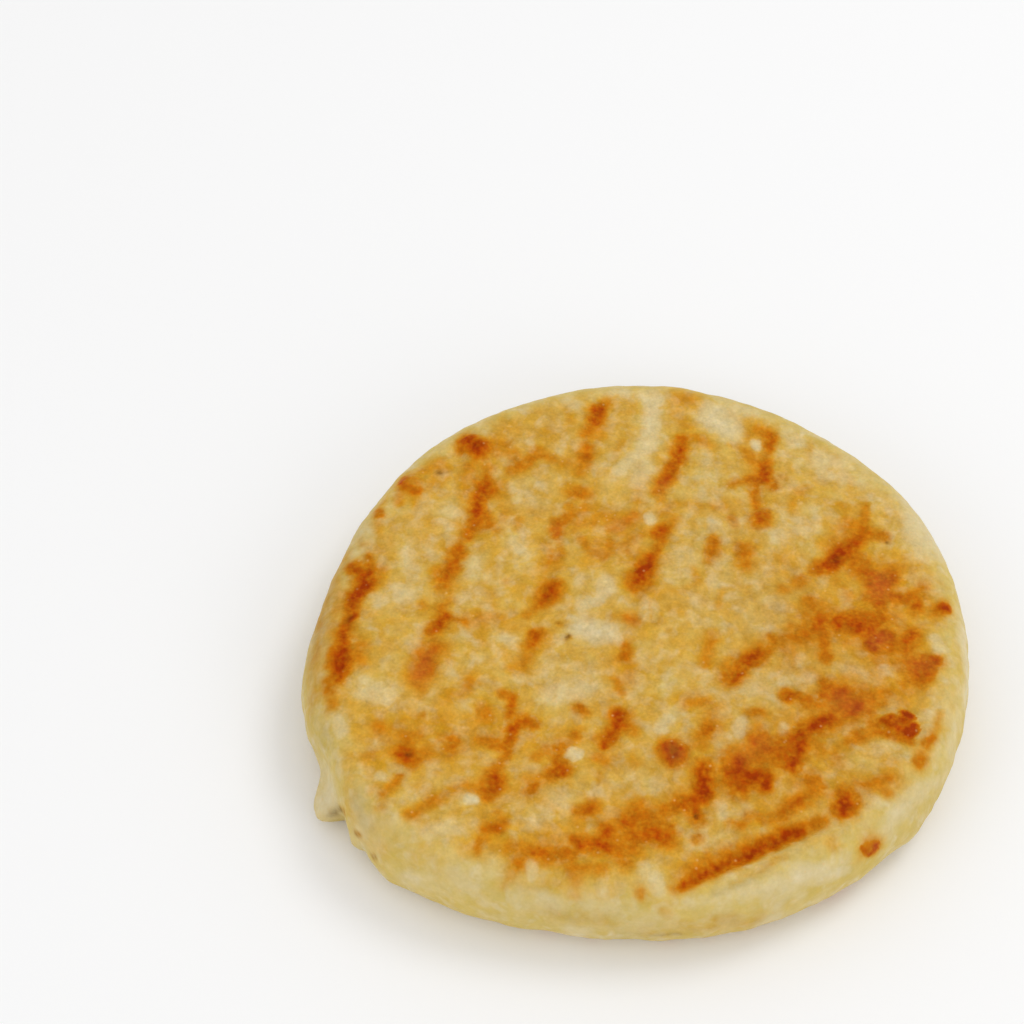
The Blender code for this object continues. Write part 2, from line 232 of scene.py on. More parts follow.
    (0.44, 1.1, (-10.7, -22.9), (-10.6, -23.4)), (0.3, 2, (-10.6, -22), (-11.6, -24)),
    (0.86, 1.4, (-3.8, -18.8), (-3.6, -20.4)), (0.74, 1.4, (-4, -20.8), (-5, -22.8)),
    (0.8, 1, (-5.2, -23), (-6.2, -24.8)), (0.5, 1.8, (-3, -19), (-2.2, -21.4)),
    (0.44, 1.4, (-6.2, -22.8), (-7.4, -23.8)), (0.26, 1.4, (-1.2, -22.2), (-1, -22.6)),
    (0.8, 1.4, (-23.3, -31.4), (-23.4, -32.6)), (0.56, 1.9, (-23.2, -30), (-24.4, -33.6)),
    (0.52, 1.6, (-24.6, -33.4), (-24.8, -34.6)), (0.46, 1.6, (-25.4, -32.8), (-26.8, -33)),
    (0.32, 2.6, (-27, -33), (-23, -30)), (0.54, 1.1, (-17.6, -32.6), (-17.9, -33.4)),
    (0.42, 1.7, (-17.4, -32.2), (-18.2, -34)), (0.32, 2.6, (-18, -31.4), (-13.6, -31.6)),
    (0.54, 1.4, (-13.1, -25.8), (-13.8, -27.6)), (0.8, 1.5, (-13, -29.5), (-13.9, -30)),
    (0.5, 2.2, (-12.9, -25.4), (-13.8, -30)), (0.44, 1.6, (-16.6, -27.2), (-14.8, -25.8)),
    (0.46, 1.3, (-14.8, -31.4), (-16.2, -31.2)), (0.38, 1.3, (-7.4, -27.3), (-6.2, -27.8)),
    (0.26, 2, (-7.4, -27), (-6.4, -28.4)), (0.33, 1.3, (-2.2, -27.7), (-1.4, -28.4)),
    (0.26, 0.8, (-7.2, -30.4), (-7, -31.8)), (0.62, 1.3, (-9.7, -37.1), (-9.1, -37)),
    (0.52, 1.6, (-10, -37.4), (-8.4, -36.4)), (0.32, 2.6, (-10.6, -38.6), (-9, -38)),
    (0.62, 1.2, (-24.2, -40.5), (-23, -40.6)), (0.5, 1.7, (-24.4, -40.6), (-22.8, -40.2)),
    (0.44, 1.2, (-23, -38), (-22.4, -39.4)), (0.46, 1.4, (-24.6, -41.8), (-25.4, -43)),
    (0.53, 1.1, (-25.5, -43.2), (-25.8, -44)), (0.42, 1.8, (-21, -43.8), (-18.8, -44.4)),
    (0.64, 1.1, (-17.4, -44.5), (-16.2, -44.5)), (0.56, 1.6, (-17.6, -44.6), (-11.6, -44.8)),
    (0.42, 1.8, (-17, -45.8), (-12, -46.2)), (0.66, 1.1, (-11.2, -42), (-10.2, -43.2)),
    (0.5, 2, (-10.6, -42.6), (-10, -43.8)), (0.72, 1.4, (-9.6, -43), (-8, -42.8)),
    (0.8, 1.1, (-7.4, -42.7), (-6, -43.6)), (0.8, 1, (-6.4, -40.3), (-6.2, -41)),
    (0.64, 1.6, (-6.3, -40.4), (-7, -43)), (0.52, 2.4, (-8, -43.4), (-2.6, -43.4)),
    (0.44, 2, (-4.6, -44.6), (-3.6, -46.6)), (0.66, 1.6, (-3.4, -39), (-0.6, -38)),
    (0.52, 1.6, (-1.8, -36.6), (-3.2, -37.8)), (0.44, 1.4, (-1.2, -35.4), (-2, -36.2)),
    (0.54, 2, (-2.6, -40.4), (0, -40)), (0.68, 1.3, (-1.8, -41.4), (1, -41.2)),
    (0.52, 1, (-19.5, -46.3), (-20.1, -47)), (0.4, 1.6, (-19.8, -46.4), (-20.8, -47.8)),
    (0.43, 1.4, (-12, -47.6), (-6.8, -47.3)), (0.34, 1.4, (-11.8, -48.6), (-11, -49.2)),
    (0.44, 0.8, (-1.3, -50.9, 14.2), (-1.6, -51.4, 13.8)),
    # wall
    (0.29, 2.6, (-49.5, 15, 13), (-52.4, 3, 13), (-52.8, -14, 13.4)),
    (0.31, 1.2, (-49.8, 7), (-50.4, -1), (-50.6, -5)),
    # painted shade in the crease below the front streak
    (0.24, 0.5, (12.4, -49.7, 14.4), (15.3, -48.4, 14.6), (21.2, -45.1, 14.9)),
    # painted shade on the lower-left wall beside the tongue, with the next mark
    (0.24, 1.6, (-46, -27, 14.6), (-45, -36, 11)),
    (0.17, 2, (-45, -35, 11.6), (-43.4, -39.4, 9), (-40.8, -41.4, 11)),
    # the cracks beside the tongue, here and in the next two marks: browned, with painted shade in them
    (0.42, 0.6, (-47.9, -31.7, 7.4), (-46.8, -33.8, 9.6)),
    (0.36, 0.6, (-45.3, -37.3, 9), (-44.4, -37.8, 9.4)),
    (0.36, 0.6, (-42.7, -40.6, 7.2), (-42.1, -40.9, 7.8)), (0.16, 3, (-41, -39, 12.5), (-32, -45, 12.5)),
    (0.3, 1.1, (-21.2, -48.3, 14.2), (-22, -49.4, 13.2)),
    (0.28, 1.4, (-11, -49.4, 14.6), (-11.4, -50.8, 13.4)),
    (0.2, 1.8, (-20, -48.4, 14.2), (-8, -50.4, 14.2), (0, -50.8, 14.2)),
    (0.24, 1.6, (-36, -39, 15), (-34.6, -39.8, 15)), (0.24, 1.6, (-28, -44, 15), (-26.6, -44.4, 15)),
    (0.38, 1.1, (-20.2, -47.3), (-19.2, -47.4)), (0.16, 2, (-15, -52.4, 9.8), (-6.6, -53.3, 9.7)),
    (0.19, 1.5, (10, -53, 9.6), (12.4, -52.6, 9.4)), (0.22, 1.3, (-13, -50.4, 14), (-11.6, -50.6, 14)),
    (0.18, 1.3, (1, -51.4, 13.6), (3, -52, 12.8)), (0.27, 0.9, (2, -52.6, 12), (3, -53.2, 11)),
    (0.2, 2.2, (0, -53.8, 8), (17, -51.2, 7.4)), (0.26, 1.1, (28.2, -42.2, 14.5), (28.6, -42.9, 14.3)),
    (0.5, 1.7, (34.1, -41.5, 12), (35.3, -40.9, 11.1)), (0.15, 2, (46, 20), (49.5, 12), (51, 7, 14.6)),
    (0.2, 1.2, (48.4, 13), (50.2, 8.6, 14.8)),
    (0.15, 1.5, (52.5, 2, 13.6), (50.4, -14, 13.8), (48, -22, 13.6)),
    (0.27, 0.4, (2.2, 3), (2.3, -1), (3.4, -1.4), (4, 1.2), (3.2, 3.2), (2.2, 3)),
    # front right
    (0.44, 1.2, (12, -4.6), (11.2, -6.6)), (0.42, 1, (10.7, -8), (10.6, -9.2)),
    (0.32, 1.8, (12.2, -3.4), (10.6, -9.4)), (0.54, 1, (21.3, -3.8), (21.4, -4.4)),
    (0.46, 1.3, (21.8, -5), (20.8, -6.8)), (0.44, 1.6, (22.8, -4.8), (25.2, -3.6)),
    (0.8, 1.4, (19, -7.1), (17.7, -8.3)), (0.62, 2, (19.4, -6.8), (16.6, -9.4)),
    (0.78, 1.1, (15.8, -11.2), (15.4, -12)), (0.62, 2, (15.6, -10.8), (14.6, -11.8)),
    (0.42, 2, (14.6, -8.8), (13.8, -11)), (0.7, 1.2, (23, -15), (23.4, -15.8)),
    (0.66, 1, (24.7, -15.4), (25, -15.6)), (0.52, 1.6, (22.8, -15.4), (26.4, -16.2)),
    (0.54, 1.9, (26.6, -16.8), (28.8, -17)), (0.52, 0.9, (17.8, -18.7), (18.6, -18.6)),
    (0.36, 1.5, (17, -19.2), (19, -18.8)), (0.43, 1.2, (7, -17.3), (9.8, -16.6)),
    (0.32, 2.4, (7.6, -16.2), (12, -17)), (0.3, 2, (10.4, -18.4), (10.2, -20.4)),
    (0.54, 1.4, (10.6, -21.6), (9.9, -23.2)), (0.42, 2.2, (10.8, -21.6), (9, -24.6)),
    (0.78, 1.1, (3.2, -25.4), (3.6, -26.6)), (0.74, 0.8, (4.8, -24.8), (4.9, -26.6)),
    (0.88, 0.9, (5.8, -26.3), (4.4, -27.8)), (0.66, 2.3, (4.2, -25.6), (5, -27)),
    (0.52, 1, (6.8, -26.2), (6.6, -26)), (0.24, 1.6, (-2, -27.8), (-1.4, -28.4)),
    (0.88, 1.3, (29.2, -20.3), (27.2, -21.6)), (0.74, 1.9, (30, -19.9), (25.6, -22.8)),
    (0.8, 1.1, (25, -23), (24.6, -26)), (0.9, 1, (23.6, -28), (23.3, -29)),
    (0.76, 1.5, (24.6, -25.6), (23.2, -29.4)), (0.67, 2.8, (23.6, -24.6), (21.8, -27.6)),
    (0.64, 1, (17.6, -24), (17.6, -25.4)), (0.54, 2.4, (18, -23.6), (19.4, -25.6)),
    (0.54, 2.8, (20, -26.4), (14, -27.8)), (0.8, 1.3, (15, -28), (15.3, -29.4)),
    (0.76, 1.3, (13, -29.5), (15, -29.8)), (0.56, 1.3, (10, -28.8), (9.4, -30)),
    (0.45, 2, (11.4, -29.4), (13, -29)), (0.9, 1, (9, -32.5), (9, -33.2)),
    (0.8, 1.6, (9.3, -31.6), (9.2, -33.8)), (0.78, 1.4, (9, -30.4), (9.6, -34)),
    (0.66, 2, (9.3, -29.4), (8.6, -34.2)), (0.76, 1.2, (7.8, -35), (6.2, -35.8)),
    (0.66, 1.8, (7.4, -35), (5.6, -35.6)), (0.78, 0.8, (7.6, -37), (7.6, -37.8)),
    (0.54, 1.6, (7.2, -36.8), (7.6, -38.6)), (0.54, 1.6, (2.8, -36.6), (4.6, -36)),
    (0.9, 1.8, (16.4, -31), (18.4, -31.2)), (0.98, 0.8, (16.8, -31.2), (17.6, -30.6)),
    (0.86, 1.2, (18.6, -31.8), (18.8, -33)), (0.76, 1.7, (14.4, -31), (15, -32.4)),
    (0.64, 2, (13.4, -31.6), (14.4, -33)), (0.78, 1.3, (2, -41.4), (2.8, -41.8)),
    (0.67, 2.2, (1, -40.8), (2.6, -41.8)), (0.53, 1.6, (4, -40.8), (3.8, -39.6)),
    (0.54, 2, (1.8, -39), (0.4, -37.8)), (0.54, 1.8, (26.2, -31.8), (27, -32.8)),
    (0.42, 2.4, (25.6, -31), (25.4, -34)), (0.68, 1.1, (24, -35.2), (22.6, -36)),
    (0.62, 1, (21.4, -37), (21, -37.2)), (0.52, 1.9, (24.8, -35), (21.2, -37.2)),
    (0.44, 1.5, (16, -38.2), (20.4, -38.4)), (0.9, 1.4, (30.8, -35.2), (30.4, -36.8)),
    (0.76, 2, (31, -34.9), (30.4, -36.8)), (0.56, 2.1, (30.8, -34.6), (30.2, -36.8)),
    (0.44, 1.1, (7.7, -41.2), (7.4, -42)), (0.52, 1.1, (27.4, -38.8), (25, -39.7)),
    (0.5, 1.2, (5.4, -49.6), (12, -46)), (0.88, 1.1, (23.4, -40.5), (21.4, -41)),
    (0.78, 1.4, (21, -41.3), (19.6, -42.1)), (0.84, 1.4, (19, -42.5), (15.4, -44)),
    (0.99, 0.7, (16.2, -43.9), (15.9, -44.1)), (0.72, 1.4, (15.4, -44.6), (14.6, -45.2)),
    (0.74, 1.5, (13.8, -45.2), (10.4, -46.8)), (0.67, 1.3, (10, -47), (7, -48.6)),
    (0.8, 0.9, (8.8, -47.7), (8, -48.2)), (0.66, 1.3, (6.8, -48.9), (5.2, -49.8)),
    (0.74, 0.8, (5.2, -49.8), (4.8, -50.2)), (0.46, 1.3, (4.4, -50.2), (3.8, -50.8)),
    (0.34, 2.4, (5, -48), (13, -44)), (0.88, 1, (33, 0.2), (32.8, -1)),
    (0.68, 1.9, (33.4, 0.3), (32.6, -1.2)), (0.76, 1.6, (35.4, -0.6), (38, -1.6)),
    (0.66, 2.8, (36, -0.2), (39, 0.2)), (0.76, 1.7, (36, -1.6), (38.6, -3)),
    (0.88, 1.3, (40.4, -2.9), (38.4, -4.4)), (0.8, 1.4, (38, -4.8), (38.2, -5.8)),
    (0.64, 1.8, (40.4, -5), (41, -3.6)), (0.48, 1.6, (38.8, -6.6), (41.4, -6.2)),
    (0.64, 1.5, (30.2, 0.2), (29.4, -1.2)), (0.56, 1.8, (29.2, -1.8), (30.4, -3.4)),
    (0.52, 1.4, (30.3, -4.2), (30.2, -7)), (0.64, 1.2, (30.2, -7.6), (30.2, -8.4)),
    (0.5, 1.6, (27, -3.2), (25.6, -3.8)), (0.47, 3.4, (29, 0.6), (27, -3)),
    (0.68, 1.5, (44.8, -2.6), (43.7, -4.2)), (0.52, 2.2, (45, -2.6), (43.6, -4.8)),
    (0.52, 1.4, (43.4, -6), (43.6, -6.8)), (0.68, 1.7, (47.6, -8.3), (46, -9.4)),
    (0.68, 1.7, (45, -9.2), (44.6, -10.8)), (0.5, 2.2, (43.6, -8.8), (44.4, -11.6)),
    (0.54, 1.4, (46.4, -11.6), (45.2, -13)), (0.42, 2.2, (42, -12), (42, -14)),
    (0.68, 1.1, (29.4, -14), (29.4, -15.2)), (0.52, 1.5, (29.4, -12.8), (29.6, -13.4)),
    (0.76, 1, (32.5, -14.7), (31.4, -15.6)), (0.66, 3.2, (32, -16), (33, -17.4)),
    (0.8, 1.2, (34.8, -17), (33.9, -18.4)), (0.5, 1.4, (37, -16.4), (38.4, -16.8)),
    (0.44, 2.4, (36, -15), (39, -15)), (0.45, 2.2, (40.2, -20.8), (41.4, -21.4)),
    (0.62, 0.8, (45.9, -23), (44.9, -24.1)), (0.45, 1.2, (46, -22.7), (44.6, -24.4)),
    (0.33, 1, (46.8, -21.4), (47.8, -18.6)), (0.5, 1.2, (35.6, -15), (36.4, -18.6)),
    (0.44, 1, (36.6, -19), (36.2, -20.6)), (0.58, 0.9, (37.4, -22.4), (39.6, -23.4), (42.4, -24.1)),
    (0.46, 1.2, (32.2, -25), (36.4, -22.9)), (0.53, 1.2, (43.5, -27.4), (43.2, -28.2)),
    (0.36, 1.5, (43.6, -26), (43, -28.6)), (0.52, 1.3, (37.2, -21.2), (36.6, -22)),
    (0.52, 1, (34.4, -22.5), (33.4, -23)), (0.43, 1.5, (36, -22.8), (32.4, -24.4)),
    (0.33, 1.6, (31.4, -25.4), (30.4, -26.8)), (0.44, 1.5, (34.6, -32.3), (38.6, -30.8)),
    (0.32, 2.6, (34, -32.6), (39, -32)), (0.44, 1.1, (37.4, -33.9), (38, -33.7)),
    (0.46, 1.6, (7, -47.4), (13.6, -44.2)), (0.38, 2, (7, -46.6), (16, -42.4)),
    (0.5, 1.2, (20, -41.4), (24, -39.6)), (0.45, 1, (12.6, -39.2), (15, -39.4)),
]

# Pale starchy patches: strength, half-width, points
milkMarks = [
    (0.36, 2, (-38.6, 12.6), (-37.2, 11)), (0.45, 2.4, (-40.2, 6.6), (-38.6, 5)),
    (0.36, 1.8, (-32, 24.2), (-30.6, 22.8)), (0.35, 2.2, (-27.4, 12.4), (-27, 10)),
    (0.45, 1.9, (-20.4, 16.4), (-19.6, 14.6)), (0.3, 2.2, (-28, 43), (-26, 42)),
    (0.4, 1.8, (-48.4, 16), (-47.8, 14.6)), (0.3, 1.6, (-20.6, 29.4), (-20.6, 28.6)),
    (0.32, 2, (-18.2, 27.4), (-17, 26)), (0.5, 1.9, (-5.2, 7.2), (-4.8, 6)),
    (0.35, 1.6, (-9.4, 8.4), (-9.4, 7.6)), (0.5, 1.6, (-9, 3), (-6.6, 4.2)),
    (0.75, 2.3, (-9.4, -1.6), (-4.8, -2.8)), (0.3, 1.6, (-6, 50.4), (-2, 51.2)),
    (0.35, 2.2, (-11, 49), (-9.6, 47.4)), (0.4, 2.4, (0, 50.6), (5, 50)), (0.6, 2, (4, 48), (3.6, 39)),
    (0.45, 2, (2.4, 37), (-2.4, 32)), (0.4, 2, (3, 33), (1, 29)), (0.8, 2.5, (14.2, 44.4), (17.4, 42.8)),
    (0.34, 2.6, (12, 31), (12, 27)), (0.5, 2.2, (14.2, 47.6), (16, 46.4)),
    (0.45, 2, (19.6, 47.6), (22, 46.8)), (0.8, 0.9, (22.1, 39.6), (22.1, 38.6)),
    (0.35, 1.8, (12.6, 36.4), (13, 34.6)), (0.4, 2, (28.4, 42), (29, 39.6)),
    (0.3, 4, (38.6, 37), (39.4, 31)), (0.4, 3, (33, 36), (34, 32)), (0.45, 3.6, (47.4, 27), (48.4, 15)),
    (0.35, 1.6, (31, 23.4), (31, 22.4)), (0.35, 2, (25.4, 18.8), (29.6, 19)),
    (0.35, 1.4, (23.3, 17.6), (23.3, 16.4)), (0.6, 1.1, (2.6, 21.9), (2.6, 21.2)),
    (0.3, 1.8, (9.4, 3.6), (9.4, 2.6)), (0.35, 1.2, (11.4, 21), (11.4, 20.4)),
    (0.3, 2.4, (8, 14), (8, 11)), (0.5, 3, (-44.4, -13.6), (-41.2, -15)),
    (0.55, 1.3, (-48.4, -20), (-47.8, -22.4)), (0.45, 1.2, (-41.6, -30.8), (-40.8, -31.2)),
    (0.9, 1, (-27.6, -35.2), (-27, -35.2)), (0.35, 1.4, (-37, -34.2), (-36.2, -34.8)),
    (0.34, 2.6, (-33.6, -41.4), (-30.4, -40)), (0.4, 1.8, (-22, -3.6), (-20.8, -4)),
    (0.25, 1.8, (-29.4, -3.6), (-28.4, -3.2)), (0.4, 3, (-14.4, -15), (-9, -13.2)),
    (0.66, 0.8, (-11.4, -25.6), (-10.8, -27.2)), (0.4, 0.8, (-12.2, -26.8), (-10.2, -26)),
    (0.45, 1.2, (-17.7, -46.8), (-17.6, -48.6, 14.4)), (0.25, 2, (-14, -34), (-12.6, -35)),
    (0.16, 2, (-18.4, -38), (-17.8, -39)), (0.5, 1.6, (2.8, -22), (4.6, -19.6)),
    (0.3, 1.4, (4.2, -15), (5, -10.6)), (0.45, 1.5, (15.6, -20.8), (15.2, -23)),
    (0.3, 2.6, (17, -14.6), (19.6, -13)), (0.3, 1.8, (25, -12.4), (27.4, -12)),
    (0.3, 1.8, (26, -9.2), (26.2, -8.6)), (0.35, 1.4, (40, -10), (40.2, -11)),
    (0.27, 2, (39, -25), (34, -28.4)), (0.24, 2.6, (33.4, -9.8), (37, -11.4)),
    (0.36, 1.6, (12, -36.2), (12, -38)), (0.25, 1.5, (11.2, -41.4), (10, -42.4)),
    (0.35, 1.8, (1.2, -31.6), (1.6, -32.8)), (0.35, 1.8, (0.6, -48), (0.8, -50.4)),
    (0.35, 1.3, (22.6, -21.6), (22.2, -22.4)), (1, 3.2, (-50, -28.6, 8), (-51, -29.6, 5)),
    (0.6, 1.6, (14.4, -50.3, 13.2), (20, -48.6, 13)), (1, 1.9, (23, -47.4, 12.6), (26, -46, 12)),
    (0.75, 1.5, (28, -45.8, 11), (30.4, -44.8, 10.4)), (0.4, 1.6, (6, -52.4, 13), (12, -51.4, 13)),
    (0.24, 0.6, (8, -50.3, 14.5), (14.6, -47.7), (18.7, -45.4), (26.1, -41.7), (34, -37.8)),
    (0.7, 2, (38.8, -36.6, 13), (42.6, -32, 12.6)), (0.22, 2, (46.4, -29, 11), (49.4, -22, 11)),
    (0.95, 2.2, (54, 0, 12), (54, -4, 12), (53.2, -13, 10.8)),
    (0.55, 2.4, (49, 26, 13.6), (51.6, 17, 13.4)), (0.45, 1.6, (48.6, -3.4), (49.2, -6)),
    (0.4, 1.8, (51.4, 14, 12.4), (49.4, 20, 12.4)), (0.4, 2, (-27, -48.4, 12), (-25.4, -49.8, 9.6)),
    (0.35, 1.8, (-33, -45.6, 12.6), (-28, -48, 12)), (0.35, 1.6, (-1.6, -53.7, 9), (1, -53.7, 9)),
    (0.3, 1.6, (16.5, -51.2, 10.5), (22, -49, 10.8)), (0.4, 2.4, (50.6, -17, 12), (49, -23, 12)),
    (0.3, 1.8, (45.8, -29.6, 11.4), (44.4, -31.6, 11.2)),
    (0.3, 1.8, (49.4, 18, 14.2), (47.8, 21.6, 14.8)), (0.35, 1.2, (1.1, -49, 15), (1.6, -51, 13.6)),
]

# Golden clouds round the brown marks: how far they are baked, half-width, points
goldMarks = [
    (0.28, 4.4, (-27, 38), (-27, 20)), (0.26, 3.4, (-28, 20), (-33, 2)),
    (0.26, 3.4, (-18, 36), (-16, 34)), (0.27, 3.4, (-45, 14), (-48, 0)),
    (0.27, 3.4, (-48, -2), (-49, -14)), (0.26, 3.4, (-4, 48), (-9, 34)), (0.28, 5.4, (-8, 22), (0, 18)),
    (0.25, 2.6, (-18, 27), (-17, 24)), (0.24, 2.4, (35, -27), (37, -26)),
    (0.26, 3.4, (-13, 18), (-16, 4)), (0.25, 3.4, (-17, 2), (-19, -9)), (0.26, 3.6, (-32, 0), (-22, 0)),
    (0.27, 3.6, (-34, -4), (-36, -14)), (0.25, 4, (8, 49), (13, 48)), (0.27, 3.2, (9, 40), (4, 28)),
    (0.27, 3.2, (5, 20), (1, 6)), (0.27, 3.2, (22, 44), (22, 30)), (0.26, 3.6, (22, 28), (21, 20)),
    (0.25, 5.4, (37, 23), (34, 12)), (0.34, 5.2, (43, 11), (43, 0)), (0.3, 2.2, (48, 5), (49.6, 0.6)),
    (0.39, 7, (31, 0), (42, -6)), (0.35, 2.4, (33.6, 8), (35, 5)), (0.37, 5.6, (33, -14), (42, -10)),
    (0.34, 4, (23, -5), (27, -11)), (0.36, 6.4, (32, -18), (16, -28)), (0.34, 5.4, (16, -30), (-4, -40)),
    (0.32, 5, (-4, -41), (-20, -45)), (0.28, 6, (-40, -24), (-22, -22)),
    (0.21, 5, (-34, -33), (-24, -32)), (0.24, 2.6, (-20, -35), (-15, -36)),
    (0.24, 2.6, (-34, 21), (-35, 17)), (0.25, 2.4, (-29, -1), (-26, -4)),
    (0.26, 2.2, (-8, 12), (-5.4, 10.4)), (0.26, 2.4, (11, -17), (13, -21)),
    (0.3, 2.4, (30, -8), (33, -8)), (0.32, 2.2, (22, -31), (24, -32)), (0.27, 4, (-24, -34), (-25, -44)),
    (0.26, 3.4, (-3, -4), (-5, -26)), (0.26, 3.4, (19, -6), (14, -12)), (0.28, 4.4, (20, -36), (38, -30)),
    (0.27, 3.4, (10, -46), (26, -39)), (0.27, 3, (40, -20), (44, -15)), (0.23, 3, (2, 6), (6, 2)),
    (0.3, 2.2, (-10, -44), (-2, -45)), (0.36, 2.6, (25, -24), (30, -28)),
    (0.34, 2.4, (-10, 20), (-4, 22)), (0.33, 2.6, (-6, 16), (0, 13)), (0.3, 2.4, (2, 22), (6, 23)),
    (0.3, 2.6, (-37, 27), (-33, 33)), (0.3, 2, (-29, 33), (-29, 24)), (0.3, 2, (-22.6, 30), (-22.6, 22)),
    (0.32, 1.8, (-13.4, 11), (-15, 16)), (0.22, 2.4, (-24, 8), (-24, 4)),
    (0.22, 4.4, (-24, 41), (-12, 42)),
]

# Crisp-edged seals where the crust has stuck to the griddle: how far baked, half-width, points
sealMarks = [
    (0.75, 1.4, (39.6, -20.8), (41.4, -21.3)), (0.72, 0.7, (38.3, -20.3), (39.4, -20.7)),
    (0.88, 0.8, (41.9, -19.2), (42.6, -19.7)), (1.04, 0.8, (43, -21.8), (42.3, -22.6)),
    (0.82, 0.8, (40.8, -22.4), (42, -23)), (0.78, 0.9, (50.7, 3.2, 14.8), (51.2, 2.9, 14.6)),
    (1.05, 0.55, (51, 3.1, 14.8), (51.2, 3, 14.7)), (0.52, 0.9, (34.1, -41.5, 12), (35.3, -40.9, 11.1)),
    (0.7, 0.4, (33.2, -41.9, 12), (33.9, -42, 10.8), (34.8, -41.7, 10.1), (35.9, -40.9, 10.2),
     (36, -40.5, 11.2)),
    (0.9, 0.45, (35.1, -41, 11.2), (35.4, -40.8, 11)), (0.62, 1.6, (3.9, -25.6), (4.9, -27)),
    (0.79, 1.6, (-28.2, 39), (-27, 37.6)), (0.6, 1, (46.4, -8), (48, -8.2)),
    (0.6, 1, (47.4, -9.6), (46.2, -11.8)),
]

# Dark charred spots, and painted shade on the wall: strength, half-width, points
charAndShadeMarks = [
    (0.8, 0.4, (-11.7, -3.4), (-11.5, -3.2)), (0.45, 0.35, (-13.3, -0.5), (-13.1, -0.6)),
    (0.9, 0.35, (7.5, -37.7), (7.7, -38)), (0.7, 0.45, (-33.6, 32.5), (-33.2, 32.3)),
    (0.8, 0.25, (42.7, 16.7), (42.9, 16.5)), (0.6, 0.5, (-37.3, -26.6), (-36.9, -26.8)),
    # painted shade: the left side of the wall, which the lights reach less
    (0.12, 3.4, (-52.6, 8, 12), (-53.4, -8, 13), (-51, -20.6, 13)),
    (0.08, 2, (-14, -52.6, 9.8), (-6.6, -53.3, 9.6)), (0.09, 1.6, (10, -53, 9.6), (12.6, -52.6, 9.2)),
    # painted shade in the crease below the front streak
    (0.14, 0.4, (9.6, -51, 13.7), (15.3, -48.9, 14.2), (25, -43.2, 14.6)),
    (0.5, 0.6, (-47.4, 0.6), (-48, -0.2)), (0.3, 0.9, (4.6, -26.2), (4.8, -27.2)),
    # from the second mark on this line to the end: painted shade in the cracks beside the tongue and on
    # the wall between them, and last, low on the front wall where it turns under
    (0.25, 0.6, (34, 13.6), (33.6, 12.8)), (0.7, 0.6, (-49.4, -31, 4.4), (-48, -31.5, 6.8)),
    (0.4, 0.5, (-47.9, -31.7, 7.4), (-46.8, -33.8, 9.6)),
    (0.18, 1.6, (-45, -33.6, 13.4), (-43.8, -38, 12.6)),
    (0.5, 0.5, (-45.3, -37.3, 9), (-44.4, -37.8, 9.4)),
    (0.5, 0.5, (-42.7, -40.6, 7.2), (-42.1, -40.9, 7.8)), (0.3, 0.45, (0.4, -54, 6.4), (5, -53.9, 6.2)),
]

# Rosy patches where the crust has caught, and one painted highlight: strength, half-width, points
blushAndHighlightMarks = [
    (0.6, 1.5, (4.4, -26), (4.9, -27.2)), (0.6, 2.2, (41, 9), (40.4, 6.4)),
    (0.6, 1.5, (38.6, -5), (40, -3.4)), (0.5, 1.8, (-34.6, -7), (-35.8, -10.4)),
    (0.4, 1.8, (-35.8, -11.4), (-35.8, -14)), (0.45, 1.6, (-1.6, -0.6), (-0.8, -0.4)),
    (0.5, 2.6, (32, -16.6), (34.6, -17.4)), (0.4, 2.4, (18.6, -24.4), (16, -26.6)),
    (0.4, 2, (44.6, -9.4), (46.6, -9)), (0.4, 1.4, (5.4, 29.4), (4.8, 28.6)),
    (0.45, 1.2, (-13.3, 20), (-13.4, 18.6)), (0.4, 1.8, (-0.4, 21.8), (-3.4, 19.6)),
    # painted highlight on the top of the blister on the front wall
    (0.4, 0.8, (35.2, -41, 11.2), (35.4, -40.9, 11)),
]

# Parts that are a little darker: strength, half-width, points. Some are painted shade: the left side,
# which the lights reach less, the line in the crease below the front streak, and the band low on the
# front wall where it turns under
darkerAndShadeMarks = [
    (1, 8, (22, 4), (24, -11)), (0.6, 8, (10, 14), (16, 20)), (0.45, 9, (14, -38), (40, -26)),
    # the last mark on this line is painted shade: the left side, which the lights reach less
    (0.5, 5, (-18, 38), (-18, 26)), (0.5, 5, (-11, -12), (-7, 4)), (1, 5, (-52, -4), (-50, 6), (-47, 18)),
    (0.4, 4.5, (-51, -25, 7), (-50.4, -30, 5)), (0.5, 5, (12, -22), (38, -7)),
    # the last mark on this line is painted shade in the crease below the front streak
    (0.5, 4, (-16, -35), (4, -29)), (1, 0.7, (10, -50.6, 14), (15.3, -48.4, 14.6), (24.4, -42.8)),
    # the first mark on this line is painted shade low on the front wall, where it turns under
    (0.9, 3, (-4, -53.8, 6.6), (18, -51, 6.6)), (0.5, 5, (-22, -50, 9), (-4, -53, 9)),
    (0.4, 4, (18, -50, 9), (46, -30, 9)),
]


def hump(distance, halfWidth, steepness=2):
    return np.exp(-np.abs(distance / halfWidth) ** steepness)


def easeBetween(values, low, high):
    along = np.clip((values - low) / (high - low), 0, 1)
    return along * along * (3 - 2 * along)


def turnFrom(angles, direction):
    return (angles - direction + 180) % 360 - 180


def noiseField(points, size, seed):
    # Perlin hills between -1 and 1, as wide as size
    offset = Vector((seed * 7.3, seed * 3.1, seed * 5.7))
    return np.array([noise.noise(Vector(point) / size + offset) for point in points])


